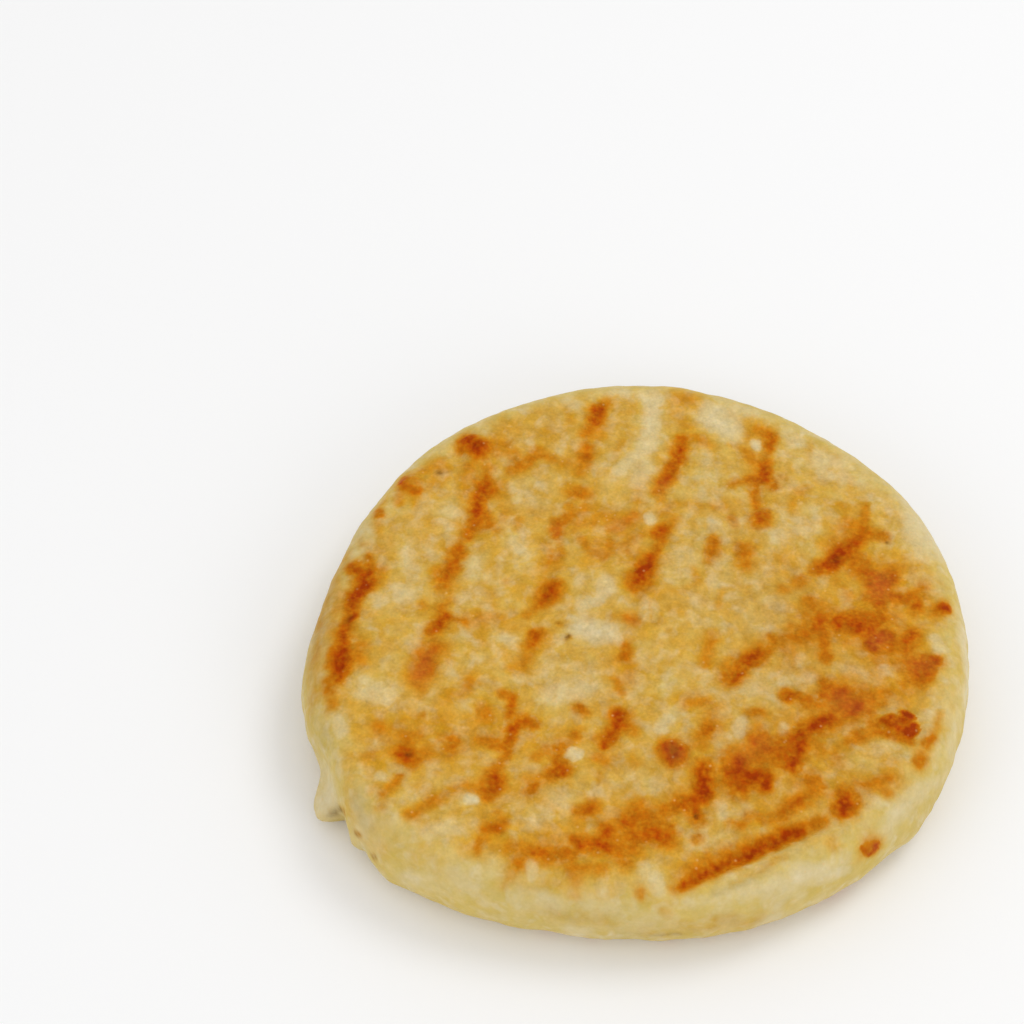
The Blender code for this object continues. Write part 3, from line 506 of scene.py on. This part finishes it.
def pathDistance(points, path):
    # how far each point is from a path on the top, or at the height that its points give
    corners = [np.array((*corner, breadForm["thickness"])[:3]) for corner in path]
    nearest = np.full(len(points), np.inf)
    for start, end in zip(corners, corners[1:]):
        run = end - start
        along = np.clip((points - start) @ run / (run @ run), 0, 1)
        nearest = np.minimum(nearest, np.linalg.norm(points - start - along[:, None] * run, axis=1))
    return nearest


def outlineRadius(angles):
    radius = np.full(len(angles), breadForm["meanRadius"])
    for count, height, crest in breadForm["outlineWaves"]:
        radius += height * np.cos(np.radians(count * (angles - crest)))
    return radius


def wallPush(angles, heights):
    push = np.zeros(len(angles))
    for direction, halfWidth, amount, middle, halfHeight in breadForm["wallLumps"]:
        push += amount * hump(turnFrom(angles, direction), halfWidth) * hump(heights - middle, halfHeight)
    turn = turnFrom(angles, tongue["direction"])
    short = hump(turn, tongue["shortWidth"], tongue["shortSteepness"])
    along = np.where(turn < 0, hump(turn, tongue["slowWidth"]), short)
    return push + tongue["push"] * along * hump(heights - tongue["height"], tongue["halfHeight"])


def cutBlock():
    # a block cut into a fine net, with every second line of its underside taken out again
    mesh = bmesh.new()
    bmesh.ops.create_cube(mesh, size=2)
    cuts = (breadForm["faceCuts"], breadForm["faceCuts"], breadForm["wallCuts"])
    for axis in range(3):
        across = []
        for edge in mesh.edges:
            if abs(edge.verts[0].co[axis] - edge.verts[1].co[axis]) > 1.9:  # still uncut along this axis
                across.append(edge)
        bmesh.ops.subdivide_edges(mesh, edges=across, cuts=cuts[axis], use_grid_fill=True)
    step = 2 / (breadForm["faceCuts"] + 1)
    spare = []
    for edge in mesh.edges:
        start, end = edge.verts[0].co, edge.verts[1].co
        if max(start.z, end.z) > breadForm["underCut"]:
            continue
        axis = 0 if abs(start.x - end.x) < step / 2 else 1
        if round((start[axis] + 1) / step) % 2 == 1:
            spare.append(edge)
    bmesh.ops.dissolve_edges(mesh, edges=spare, use_verts=True)
    return mesh


def blockToBread(block):
    # the block's edges become the two ends of the rounded wall, its top and underside the faces between
    u, v, w = block.T
    ring = np.maximum(np.abs(u), np.abs(v))
    safe = np.where(ring > 0, ring, 1)
    wide = np.abs(u) >= np.abs(v)
    sideAngles = 45 * v / np.where(wide, np.where(u == 0, safe, u), 1) + np.where(u < 0, 180, 0)
    endAngles = 90 - 45 * u / np.where(wide, 1, v) + np.where(v < 0, 180, 0)
    angles = np.where(wide, sideAngles, endAngles)
    tilt = w * math.pi / 2
    upper = w > 0
    reach = np.where(upper, breadForm["shoulderReach"], breadForm["footReach"])
    rise = np.where(upper, breadForm["thickness"] - breadForm["widestHeight"], breadForm["widestHeight"])
    power = 2 / breadForm["wallFullness"]
    inset = reach * (1 - np.maximum(0, np.cos(tilt)) ** power)
    upward = np.sign(w) * np.abs(np.sin(tilt)) ** power
    heights = breadForm["widestHeight"] + rise * upward
    radius = ring * (outlineRadius(angles) + wallPush(angles, heights) - inset)
    turn = np.radians(angles)
    points = np.stack([radius * np.cos(turn), radius * np.sin(turn), heights], axis=1)
    return points, np.clip(upward, 0, 1) ** 3


def topRelief(points):
    x, y = points[:, 0], points[:, 1]
    level = breadForm["crown"] * (1 - (x**2 + y**2) / breadForm["meanRadius"] ** 2)
    for wavelength, height, direction in breadForm["topSwells"]:
        turn = math.radians(direction)
        level += height * np.sin(math.tau * (x * math.cos(turn) + y * math.sin(turn)) / wavelength)
    flat = points * (1, 1, 0)
    for halfWidth, depth, *path in hollows:
        level -= depth * hump(pathDistance(flat, [(*corner, 0) for corner in path]), halfWidth)
    return level


def blisterRelief(points):
    # a blister is a low dome with a slightly sunken middle
    level = np.zeros(len(points))
    for x, y, z, radius, height in blisters:
        away = np.linalg.norm(points - (x, y, z), axis=1) / radius
        dome = np.sqrt(np.clip(1 - away**2, 0, 1))
        level += height * dome * (1 - 0.45 * hump(away, 0.45))
    return level


def layeredNoise(points, layers, narrow=False, shift=0):
    # layers of noise on one another, narrow ones standing up in thin lines
    total = np.zeros(len(points))
    for height, size, seed in skinLayers[layers]:
        hills = noiseField(points, size, seed + shift)
        total += height * (0.5 - np.abs(hills) if narrow else hills)
    return total


def skinRelief(points):
    # the skin of the top: soft puckers with narrow wrinkles between them
    return layeredNoise(points, "puckers") + layeredNoise(points, "wrinkles", narrow=True)


def wallRelief(points):
    # the wall where the dough was patted round: upright folds and small puckers
    tall = points * (1, 1, 0.35)
    return layeredNoise(tall, "wallFolds") + layeredNoise(points, "wallGrain")


def markField(points, marks):
    # how strongly the marks cover each point, from 0 to 1
    clear = np.ones(len(points))
    for strength, halfWidth, *path in marks:
        clear *= 1 - strength * hump(pathDistance(points, path), halfWidth)
    return 1 - clear


def bakeField(points, marks, start, steepness=1.9):
    # how far each point is baked: the brownest mark wins there, with soft joints
    power, spread = crustFinish["jointPower"], crustFinish["markSpread"]
    total = np.maximum(start, 0) ** power
    for level, halfWidth, *path in marks:
        total += (level * hump(pathDistance(points, path), halfWidth * spread, steepness)) ** power
    return total ** (1 / power)


def turnOver(marks):
    # the underside was browned on the same griddle: like marks, mirrored and turned round
    turn = math.radians(crustFinish["undersideTurn"])
    across = [(math.cos(turn), math.sin(turn)), (math.sin(turn), -math.cos(turn))]
    turned = []
    for level, halfWidth, *path in marks:
        if all(len(corner) == 2 for corner in path):
            places = [(*(x * alongX + y * alongY for alongX, alongY in across), 0) for x, y in path]
            turned.append((level, halfWidth, *places))
    return turned


def shapeBread():
    mesh = cutBlock()
    block = np.array([vertex.co for vertex in mesh.verts])
    across = block[:, 2]  # -1 on the underside, 1 on top
    points, upness = blockToBread(block)
    smooth = points.copy()
    warped = smooth.copy()
    for axis in (0, 1):
        warped[:, axis] += layeredNoise(smooth, "raggedMarks", shift=axis)
    # masks of the pale, reddish, charred and darker marks; the reddish marks hold one painted highlight,
    # the charred and darker marks some painted shade
    milk = markField(warped, milkMarks)
    blushAndHighlight = markField(warped, blushAndHighlightMarks)
    charAndShade = markField(smooth, charAndShadeMarks)
    darkerAndShade = markField(smooth, darkerAndShadeMarks)
    warpedAngles = np.degrees(np.arctan2(warped[:, 1], warped[:, 0]))
    inward = outlineRadius(warpedAngles) - np.hypot(warped[:, 0], warped[:, 1])
    edge = np.where(across > breadForm["underCut"], easeBetween(inward, *crustFinish["rimFade"]), 1)
    golden = bakeField(warped, goldMarks, np.full(len(warped), crustFinish["topLevel"])) * edge
    # browning from the marks, and the few painted-shade marks on the wall
    bake = bakeField(warped, toastAndShadeMarks + turnOver(toastAndShadeMarks), golden)
    bake = bake * (1 - crustFinish["milkShare"] * milk)
    bake = bakeField(points, sealMarks, bake, crustFinish["sealSteepness"])
    points[:, 2] += topRelief(smooth) * upness
    blisterShare = np.clip(upness, breadForm["wallBlisters"], 1) * (across > 0.05)
    points[:, 2] += blisterRelief(smooth) * blisterShare
    points[:, 2] += skinRelief(smooth) * upness
    outward = smooth * (1, 1, 0) / np.maximum(np.hypot(smooth[:, 0], smooth[:, 1]), 1)[:, None]
    wallShare = 1 - np.clip(np.abs(across), 0, 1) ** 4
    points += outward * (wallRelief(smooth) * wallShare)[:, None]
    points[:, 1] += breadForm["centreShift"]
    for vertex, place in zip(mesh.verts, points * mm):
        vertex.co = place
    bmesh.ops.recalc_face_normals(mesh, faces=mesh.faces)
    data = bpy.data.meshes.new("crustedDough")
    mesh.to_mesh(data)
    mesh.free()
    fields = {"bake": bake, "milk": milk, "blushAndHighlight": blushAndHighlight, "charAndShade": charAndShade, "darkerAndShade": darkerAndShade, "edge": edge}
    for name, values in fields.items():
        layer = data.attributes.new(name, "FLOAT", "POINT")
        layer.data.foreach_set("value", values.astype(np.float32))
    data.shade_smooth()
    bread = bpy.data.objects.new("crustedDough", data)
    bpy.context.scene.collection.objects.link(bread)
    print("bread shaped:", len(data.vertices), "points")
    return bread


# How the crust looks
crustFinish = {
    # colours from bare dough to dark brown, as they look on screen
    "ramp": [
        (0, (213, 190, 122)),
        (0.09, (211, 178, 94)),
        (0.18, (209, 164, 69)),
        (0.27, (206, 151, 45)),
        (0.385, (202, 134, 26)),
        (0.51, (196, 118, 13)),
        (0.615, (190, 105, 6)),
        (0.715, (184, 92, 3)),
        (0.84, (176, 77, 1)),
        (1, (161, 57, 1)),
    ],
    "rimColour": (208, 181, 98),
    "milkColour": (220, 204, 164),
    # this colour also paints one highlight, on the front-wall blister
    "blushAndHighlightColour": (190, 102, 46),
    # this colour also paints shade on the wall
    "charAndShadeColour": (96, 60, 8),
    # colour of the painted glints
    "glintColour": (228, 184, 118),
    "exposure": 1.06,  # light that falls on the top, so that the colours come out as above
    "topLevel": 0.175,  # how far the top is baked where no mark is
    "milkShare": 0.8,  # how much of the browning a pale patch hides
    "rimFade": (0.5, 7),  # from how far inside the outline the browning starts, and is full
    "undersideTurn": 140,
    "jointPower": 6,
    "markSpread": 1.3,  # how far the browning creeps beyond a mark's half-width
    "sealSteepness": 5,
    "mottledFrom": 0.25,  # how far the crust is baked where the mottling starts
    "bareFade": 2.2,  # how fast the tints of bare dough fade as it browns
    "rimShare": 0.8,
    "patchEdge": (0.1, 0.4),
    "patchShare": (0.75, 0.12),  # for the strength of the patch, and for any patch
    "rosyAndHighlightShare": 0.5,
    "darkerAndShadeFade": 0.05,  # how much colour and light a darker part loses; some darker parts are painted shade
    "darkerAndShadeDimming": 0.07,
    "insideFlecks": (0.6, 0.4),  # more flecks away from the rim: how much more, and those on the rim
    "bareFlecks": (-0.4, 1.1),  # fewer on bare dough: how much fewer, and those on brown crust
    # painted glints: spacing, radius, strength, and the share of cells that hold one
    "glints": {"spacing": 1.5, "radius": 0.36, "strength": 0.4, "share": 0.2},
    "roughness": 0.45,
    "specular": 0.03,
    "subsurface": 0.2,
    "subsurfaceRadius": (1, 0.6, 0.35),
    "subsurfaceDepth": 0.8,
    "bumpStrength": 0.6,
    "bumpDepth": 0.12,
}

# Noise in the crust: size of the hills, detail, low, high, seed, swirl
crustNoise = {
    "clouds": (4, 1, -0.06, 0.06, 1, 0.4),
    "smallClouds": (1.6, 1, -0.03, 0.03, 2),
    "mottle": (1, 1, -0.4, 0.4, 3),
    "haze": (2.6, 2, -0.6, 0.75, 9, 0.4),
    "rimBlotches": (6, 3, -0.8, 1.1, 10),
    "milkPatches": (2.2, 4, 0.3, 1.7, 4, 0.4),
    "milkStrength": (1.1, 2, 0.75, 1.15, 12),
    "richness": (2.6, 2, 0.06, -0.06, 5, 0.4),
    "brightness": (2.6, 2, 0.97, 1.05, 5, 0.4),
    "flecks": (0.5, 3, -0.13, 0.13, 6),
    "broadFlecks": (1.8, 4, -0.18, 0.18, 7, 0.4),
    "bump": (0.8, 4, 0, 1, 8),
}


noiseSpread = (0.25, 0.75)  # the noise of the shaders lies mostly between these


def bakedColour(seen):
    # a colour as it looks on screen, 0 to 255, as the share of the light that the crust throws back
    light = [((part / 255 + 0.055) / 1.055) ** 2.4 if part > 10 else part / 255 / 12.92 for part in seen]
    return (*(part / crustFinish["exposure"] for part in light), 1.0)


def addNode(tree, kind, **settings):
    node = tree.nodes.new(kind)
    for name, value in settings.items():
        setattr(node, name, value)
    return node


def feed(tree, socket, value):
    if isinstance(value, (tuple, int, float)):
        socket.default_value = value
    else:
        tree.links.new(value, socket)


def blendColours(tree, factor, first, second):
    mix = addNode(tree, "ShaderNodeMix", data_type="RGBA")
    for socket, value in ((mix.inputs[0], factor), (mix.inputs[6], first), (mix.inputs[7], second)):
        feed(tree, socket, value)
    return mix.outputs[2]


def reckon(tree, operation, *values):
    step = addNode(tree, "ShaderNodeMath", operation=operation)
    for socket, value in zip(step.inputs, values):
        feed(tree, socket, value)
    return step.outputs[0]


def grain(tree, place, size, detail, low, high, seed, swirl=0.0):
    # noise whose hills are about as wide as size, spread between low and high
    texture = addNode(tree, "ShaderNodeTexNoise", noise_dimensions="4D")
    texture.inputs["W"].default_value = seed * 3.7
    texture.inputs["Scale"].default_value = 1 / (size * mm)
    texture.inputs["Detail"].default_value = detail
    texture.inputs["Distortion"].default_value = swirl
    tree.links.new(place, texture.inputs["Vector"])
    spread = addNode(tree, "ShaderNodeMapRange", clamp=False)
    for socket, value in zip(spread.inputs, (texture.outputs[0], *noiseSpread, low, high)):
        feed(tree, socket, value)
    return spread.outputs[0]


def easeAcross(tree, value, low, high, most=1.0):
    ease = addNode(tree, "ShaderNodeMapRange", interpolation_type="SMOOTHSTEP")
    for socket, item in zip(ease.inputs, (value, low, high, 0.0, most)):
        feed(tree, socket, item)
    return ease.outputs[0]


def paintedGlints(tree, place):
    # painted glints: small bright points that stand in for the sheen of the crust, one in a few of the
    # cells of the pattern
    glints = crustFinish["glints"]
    cells = addNode(tree, "ShaderNodeTexVoronoi")
    cells.inputs["Scale"].default_value = 1 / (glints["spacing"] * mm)
    tree.links.new(place, cells.inputs["Vector"])
    reach = glints["radius"] / glints["spacing"]
    near = easeAcross(tree, cells.outputs["Distance"], reach, 0.0, glints["strength"])
    pick = addNode(tree, "ShaderNodeSeparateColor")
    tree.links.new(cells.outputs["Color"], pick.inputs[0])
    chosen = reckon(tree, "GREATER_THAN", pick.outputs[0], 1 - glints["share"])
    return reckon(tree, "MULTIPLY", near, chosen)


def crustMaterial():
    material = bpy.data.materials.new("griddledCrust")
    material.use_nodes = True
    tree = material.node_tree
    shader = tree.nodes["Principled BSDF"]
    place = addNode(tree, "ShaderNodeTexCoord").outputs["Object"]
    fields = {}
    for name in ("bake", "milk", "blushAndHighlight", "charAndShade", "darkerAndShade", "edge"):
        fields[name] = addNode(tree, "ShaderNodeAttribute", attribute_name=name).outputs["Fac"]
    hills = {name: grain(tree, place, *layer) for name, layer in crustNoise.items()}
    finish = crustFinish

    # soft clouds everywhere, and a finer mottling where the crust is brown
    clouds = reckon(tree, "ADD", hills["clouds"], hills["smallClouds"])
    brown = reckon(tree, "MAXIMUM", reckon(tree, "ADD", fields["bake"], -finish["mottledFrom"]), 0.0)
    mottle = reckon(tree, "MULTIPLY", brown, hills["mottle"])
    level = reckon(tree, "ADD", reckon(tree, "ADD", fields["bake"], clouds), mottle)

    ramp = addNode(tree, "ShaderNodeValToRGB")
    stops = ramp.color_ramp.elements
    for position, colour in finish["ramp"]:
        stop = stops[0] if position == 0 else stops[-1] if position == 1 else stops.new(position)
        stop.color = bakedColour(colour)
    tree.links.new(level, ramp.inputs[0])

    # bare dough is yellow towards the rim, with whitish haze and pale patches
    bare = reckon(tree, "MAXIMUM", reckon(tree, "MULTIPLY_ADD", level, -finish["bareFade"], 1.0), 0.0)
    nearRim = reckon(tree, "MULTIPLY_ADD", fields["edge"], -finish["rimShare"], finish["rimShare"])
    rim = reckon(tree, "MULTIPLY", nearRim, bare)
    colour = blendColours(tree, rim, ramp.outputs[0], bakedColour(finish["rimColour"]))
    haze = reckon(tree, "MULTIPLY", bare, hills["haze"])
    blotches = reckon(tree, "MULTIPLY", rim, hills["rimBlotches"])
    patchy = reckon(tree, "MULTIPLY", fields["milk"], hills["milkPatches"])
    patches = easeAcross(tree, patchy, *finish["patchEdge"])
    strength = reckon(tree, "MULTIPLY_ADD", fields["milk"], *finish["patchShare"])
    strength = reckon(tree, "MULTIPLY", strength, hills["milkStrength"])
    whitish = reckon(tree, "MULTIPLY", patches, strength)
    whitish = reckon(tree, "MAXIMUM", whitish, reckon(tree, "MAXIMUM", haze, blotches))
    rosyAndHighlight = reckon(tree, "MULTIPLY", fields["blushAndHighlight"], finish["rosyAndHighlightShare"])
    # layers laid over the colour: whitish patches, reddish patches with one painted highlight, painted
    # glints, and charred spots with painted shade
    layers = (
        (whitish, "milkColour"),
        (rosyAndHighlight, "blushAndHighlightColour"),
        (paintedGlints(tree, place), "glintColour"),
        (fields["charAndShade"], "charAndShadeColour"),
    )
    for share, name in layers:
        colour = blendColours(tree, share, colour, bakedColour(finish[name]))

    # small changes of lightness and strength of colour, with fewer flecks on the rim and on bare dough;
    # the darker parts, some of them painted shade, lose colour and lightness here
    tint = addNode(tree, "ShaderNodeHueSaturation")
    paler = reckon(tree, "MULTIPLY_ADD", fields["darkerAndShade"], -finish["darkerAndShadeFade"], hills["richness"])
    feed(tree, tint.inputs["Saturation"], reckon(tree, "MULTIPLY_ADD", bare, paler, 1.0))
    flecks = reckon(tree, "ADD", hills["flecks"], hills["broadFlecks"])
    inside = reckon(tree, "MULTIPLY_ADD", fields["edge"], *finish["insideFlecks"])
    browner = reckon(tree, "MULTIPLY_ADD", bare, *finish["bareFlecks"])
    fleckShare = reckon(tree, "MULTIPLY", inside, browner)
    broad = reckon(tree, "MULTIPLY_ADD", fields["darkerAndShade"], -finish["darkerAndShadeDimming"], hills["brightness"])
    feed(tree, tint.inputs["Value"], reckon(tree, "MULTIPLY_ADD", flecks, fleckShare, broad))
    feed(tree, tint.inputs["Color"], colour)
    feed(tree, shader.inputs["Base Color"], tint.outputs[0])
    shader.inputs["Roughness"].default_value = finish["roughness"]
    shader.inputs["Specular IOR Level"].default_value = finish["specular"]
    shader.inputs["Subsurface Weight"].default_value = finish["subsurface"]
    shader.inputs["Subsurface Radius"].default_value = finish["subsurfaceRadius"]
    shader.inputs["Subsurface Scale"].default_value = finish["subsurfaceDepth"] * mm
    bump = addNode(tree, "ShaderNodeBump")
    bump.inputs["Strength"].default_value = finish["bumpStrength"]
    bump.inputs["Distance"].default_value = finish["bumpDepth"] * mm
    feed(tree, bump.inputs["Height"], hills["bump"])
    feed(tree, shader.inputs["Normal"], bump.outputs[0])
    return material


# The studio, in metres: floor, world, and soft round lights with their place, size and power
studio = {
    "floorSize": 3,
    "floorColour": (0.92, 0.92, 0.92, 1),
    "floorRoughness": 0.9,
    "worldStrength": 0.8,
    "lights": {
        "keyLight": ((0.55, 0.35, 0.95), 0.5, 2.5),
        "frontLight": ((0.65, -0.85, 0.5), 0.6, 1.8),
        "leftLight": ((-0.75, -0.55, 0.5), 0.6, 0.95),
    },
}


def setFloor():
    mesh = bmesh.new()
    bmesh.ops.create_grid(mesh, x_segments=1, y_segments=1, size=studio["floorSize"])
    data = bpy.data.meshes.new("floor")
    mesh.to_mesh(data)
    mesh.free()
    floor = bpy.data.objects.new("floor", data)
    bpy.context.scene.collection.objects.link(floor)
    material = bpy.data.materials.new("paleFloor")
    material.use_nodes = True
    shader = material.node_tree.nodes["Principled BSDF"]
    shader.inputs["Base Color"].default_value = studio["floorColour"]
    shader.inputs["Roughness"].default_value = studio["floorRoughness"]
    data.materials.append(material)


def addSoftLight(name, place, size, power):
    # a round light that looks at the bread
    light = bpy.data.lights.new(name, "AREA")
    light.shape = "DISK"
    light.size = size
    light.energy = power
    lamp = bpy.data.objects.new(name, light)
    lamp.location = place
    lamp.rotation_euler = (-Vector(place)).to_track_quat("-Z", "Y").to_euler()
    bpy.context.scene.collection.objects.link(lamp)


def setLights():
    world = bpy.data.worlds.new("studio")
    world.use_nodes = True
    background = world.node_tree.nodes["Background"]
    background.inputs["Color"].default_value = (1, 1, 1, 1)
    background.inputs["Strength"].default_value = studio["worldStrength"]
    bpy.context.scene.world = world
    for name, (place, size, power) in studio["lights"].items():
        addSoftLight(name, place, size, power)
    bpy.context.scene.view_settings.view_transform = "Standard"


# The camera at the photograph's angle
shotSetup = {
    "aim": (-20.8, 34.82, 0),
    "distance": 430,
    "elevation": 50,
    "lens": 84.375,
    "sensor": 36,
}


def setCamera():
    camera = bpy.data.cameras.new("camera")
    camera.lens = shotSetup["lens"]
    camera.sensor_width = shotSetup["sensor"]
    eye = bpy.data.objects.new("camera", camera)
    tilt = math.radians(shotSetup["elevation"])
    aim = Vector(shotSetup["aim"]) * mm
    eye.location = aim + shotSetup["distance"] * mm * Vector((0, -math.cos(tilt), math.sin(tilt)))
    eye.rotation_euler = (math.pi / 2 - tilt, 0, 0)
    bpy.context.scene.collection.objects.link(eye)
    bpy.context.scene.camera = eye


setFloor()
setLights()
setCamera()
print("stage set")

bread = shapeBread()
bread.data.materials.append(crustMaterial())
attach(bread, "root")
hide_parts("arepa")
print("crust finished")
